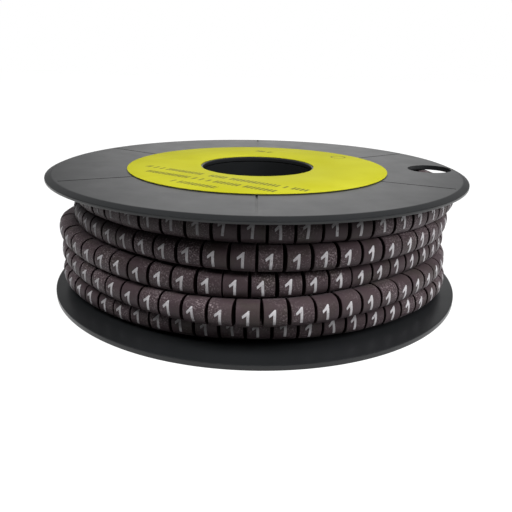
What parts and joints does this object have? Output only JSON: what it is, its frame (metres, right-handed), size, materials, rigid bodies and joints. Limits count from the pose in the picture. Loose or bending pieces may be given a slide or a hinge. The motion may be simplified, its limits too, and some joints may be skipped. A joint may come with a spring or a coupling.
{
  "type": "cable marker reel",
  "caption": "Two-part moulded reel wound with one string of numbered cable marker sleeves, with a ring label round its open bore.",
  "frame": {"origin": "centre of the lower flange's resting face, on the reel's axis", "axes": "+Z along the reel's axis, up from the resting face; -Y is the front, and the small hole in the upper flange lies towards +X"},
  "size_m": [0.128, 0.128, 0.0366],
  "materials": {
    "reel_plastic": "black injection-moulded plastic, satin, slightly glossy",
    "marker_vinyl": "dark brown soft vinyl, satin, with a pale printed numeral on each marker",
    "label_film": "bright yellow printed film, satin"
  },
  "bodies": {
    "root": {"reel_body": "reel_plastic", "reel_cap": "reel_plastic", "marker_string": "marker_vinyl", "label": "label_film"}
  },
  "joints": []
}
